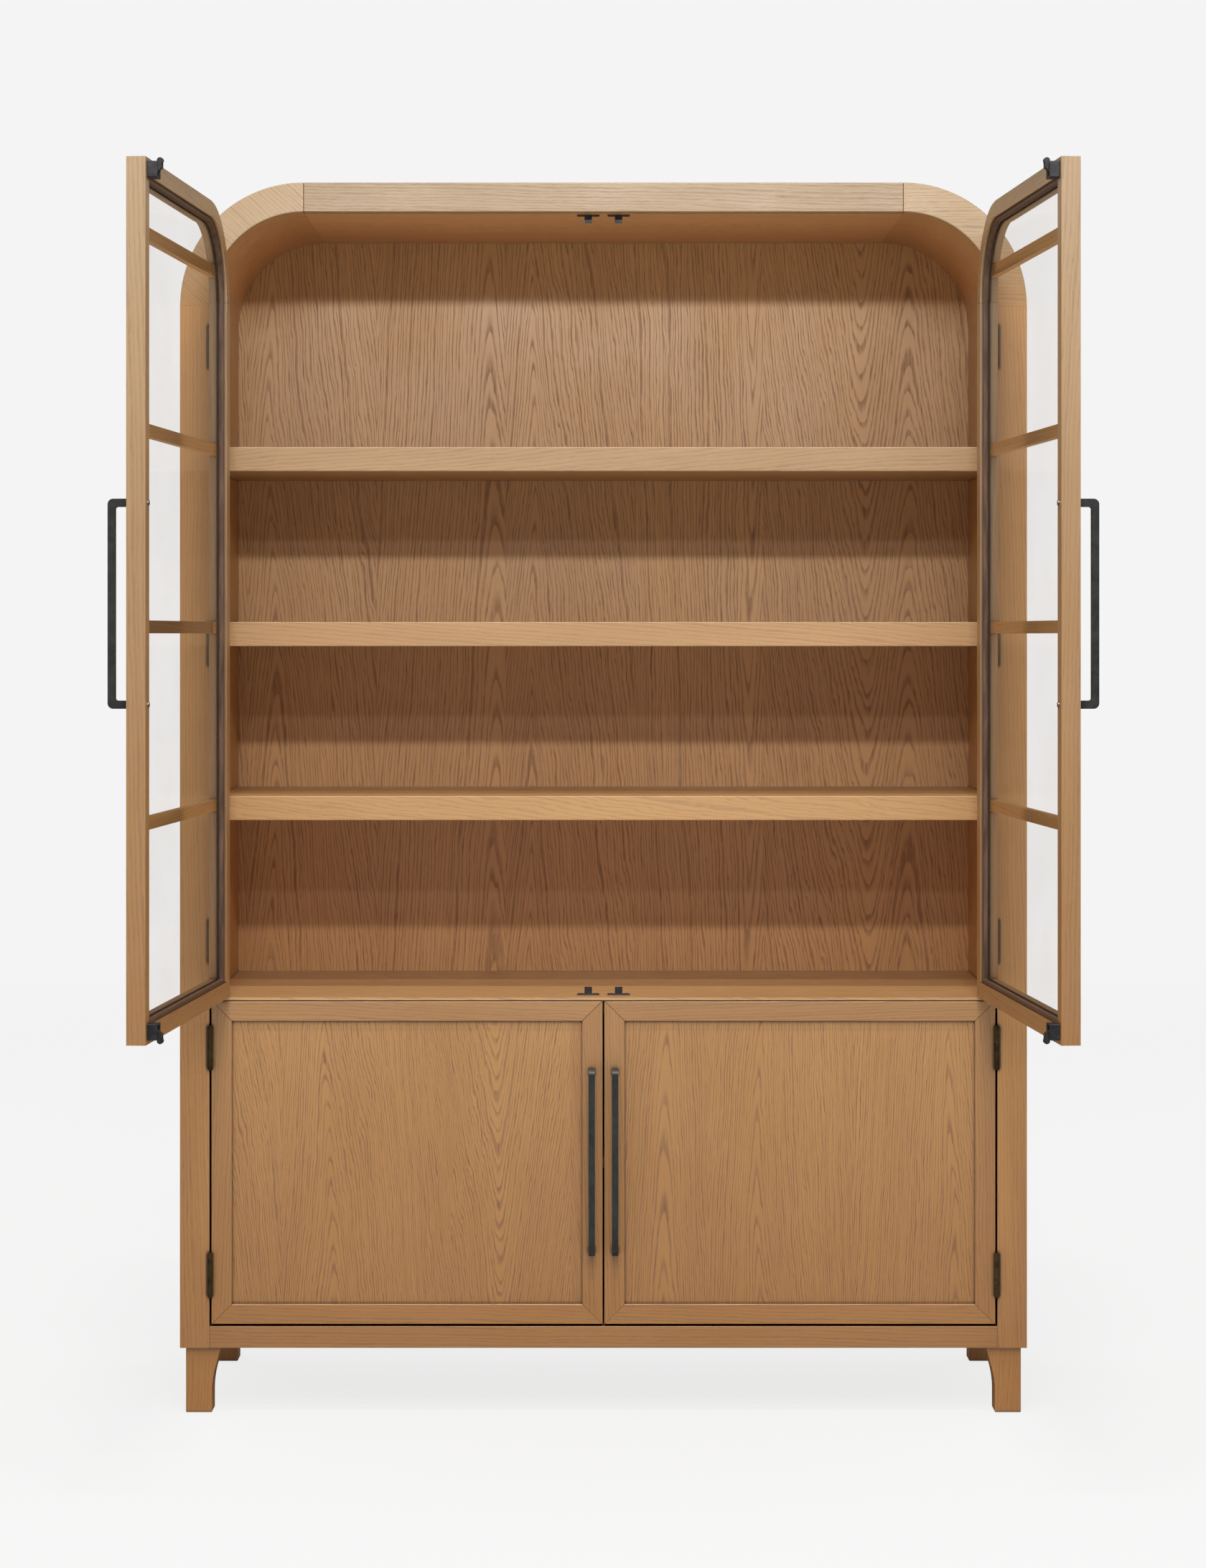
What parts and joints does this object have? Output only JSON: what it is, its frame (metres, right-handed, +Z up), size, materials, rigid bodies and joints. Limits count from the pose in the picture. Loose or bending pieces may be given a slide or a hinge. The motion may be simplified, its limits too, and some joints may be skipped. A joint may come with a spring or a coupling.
{
  "type": "china cabinet",
  "caption": "Tall oak china cabinet with arched top corners, open shelves behind glazed double doors and a panelled double-door cupboard below, on short flared feet.",
  "frame": {"origin": "on the floor, at the centre of the box that the cabinet takes up with its glazed doors standing open; the case itself is centred left to right and lies 113.5 to 597.5 mm behind the origin", "axes": "+Z up, +X to the right as seen by a person facing the doors, +Y from the doors towards the back"},
  "size_m": [1.5756, 1.195, 2.216],
  "materials": {
    "oak_case": "oiled oak, satin",
    "oak_door": "oiled oak, satin",
    "oak_panel": "oiled oak veneer, satin",
    "oak_feet": "oiled oak, satin, a little darker",
    "dark_strip": "dark stained strip, matt",
    "door_glass": "clear float glass",
    "pull_metal": "charcoal powder coat, satin",
    "latch_metal": "blackened, satin",
    "hinge_metal": "antique brass, dull",
    "screw_steel": "plain steel",
    "magnet_housing": "brown plastic, matt"
  },
  "bodies": {
    "case": {"arch_frame_left": "oak_case", "arch_frame_right": "oak_case", "arch_shell_left": "oak_case", "arch_shell_right": "oak_case", "back_panel_lower": "oak_panel", "back_panel_upper": "oak_panel", "bottom_board": "oak_case", "bottom_rail": "oak_case", "cupboard_shelf": "oak_case", "feet": "oak_feet", "floor_board": "oak_case", "frame_hinge_leaves": "hinge_metal", "frame_screws": "screw_steel", "hinge_pins": "hinge_metal", "latch_strikes": "latch_metal", "magnet_catches": "magnet_housing", "shelf_lower": "oak_case", "shelf_middle": "oak_case", "shelf_pins": "screw_steel", "shelf_upper": "oak_case", "side_panel_left": "oak_case", "side_panel_right": "oak_case", "stile_left": "oak_case", "stile_right": "oak_case", "top_panel": "oak_case", "top_rail": "oak_case"},
    "upper_left_door": {"upper_left_arch_corner": "oak_door", "upper_left_glass": "door_glass", "upper_left_glass_retainer": "dark_strip", "upper_left_glazing_bars": "oak_door", "upper_left_hinge_leaves": "hinge_metal", "upper_left_latch_bodies": "latch_metal", "upper_left_pull": "pull_metal", "upper_left_rails": "oak_door", "upper_left_screws": "screw_steel", "upper_left_stiles": "oak_door"},
    "upper_right_door": {"upper_right_arch_corner": "oak_door", "upper_right_glass": "door_glass", "upper_right_glass_retainer": "dark_strip", "upper_right_glazing_bars": "oak_door", "upper_right_hinge_leaves": "hinge_metal", "upper_right_latch_bodies": "latch_metal", "upper_right_pull": "pull_metal", "upper_right_rails": "oak_door", "upper_right_screws": "screw_steel", "upper_right_stiles": "oak_door"},
    "lower_left_door": {"lower_left_hinge_leaves": "hinge_metal", "lower_left_panel": "oak_panel", "lower_left_pull": "pull_metal", "lower_left_rails": "oak_door", "lower_left_stiles": "oak_door"},
    "lower_right_door": {"lower_right_hinge_leaves": "hinge_metal", "lower_right_panel": "oak_panel", "lower_right_pull": "pull_metal", "lower_right_rails": "oak_door", "lower_right_stiles": "oak_door"},
    "catch_bottom_left": {"latch_arm_bottom_left": "latch_metal"},
    "catch_bottom_right": {"latch_arm_bottom_right": "latch_metal"},
    "catch_top_left": {"latch_arm_top_left": "latch_metal"},
    "catch_top_right": {"latch_arm_top_right": "latch_metal"}
  },
  "joints": [
    {"name": "upper_left_door_hinge", "type": "hinge", "parent": "case", "child": "upper_left_door", "pos_m": [-0.707, 0.10835, 1.385], "axis": [0, 0, -1], "range_deg": [-94.4, 80.6]},
    {"name": "lower_left_door_hinge", "type": "hinge", "parent": "case", "child": "lower_left_door", "pos_m": [-0.707, 0.10835, 0.4545], "axis": [0, 0, -1], "range_deg": [0, 175]},
    {"name": "upper_right_door_hinge", "type": "hinge", "parent": "case", "child": "upper_right_door", "pos_m": [0.707, 0.10835, 1.385], "axis": [0, 0, 1], "range_deg": [-94.4, 80.6]},
    {"name": "lower_right_door_hinge", "type": "hinge", "parent": "case", "child": "lower_right_door", "pos_m": [0.707, 0.10835, 0.4545], "axis": [0, 0, 1], "range_deg": [0, 175]},
    {"name": "top_left_catch_pivot", "type": "hinge", "parent": "upper_left_door", "child": "catch_top_left", "pos_m": [-0.71556, -0.5725, 2.138], "axis": [0.0767, 0.9971, 0], "range_deg": [0, 50], "stiffness_Nm_per_rad": 0.4, "springref_deg": -11.46},
    {"name": "bottom_left_catch_pivot", "type": "hinge", "parent": "upper_left_door", "child": "catch_bottom_left", "pos_m": [-0.71556, -0.5725, 0.7738], "axis": [-0.0767, -0.9971, 0], "range_deg": [0, 50], "stiffness_Nm_per_rad": 0.4, "springref_deg": -11.46},
    {"name": "top_right_catch_pivot", "type": "hinge", "parent": "upper_right_door", "child": "catch_top_right", "pos_m": [0.71556, -0.5725, 2.138], "axis": [0.0767, -0.9971, 0], "range_deg": [0, 50], "stiffness_Nm_per_rad": 0.4, "springref_deg": -11.46},
    {"name": "bottom_right_catch_pivot", "type": "hinge", "parent": "upper_right_door", "child": "catch_bottom_right", "pos_m": [0.71556, -0.5725, 0.7738], "axis": [-0.0767, 0.9971, 0], "range_deg": [0, 50], "stiffness_Nm_per_rad": 0.4, "springref_deg": -11.46}
  ]
}
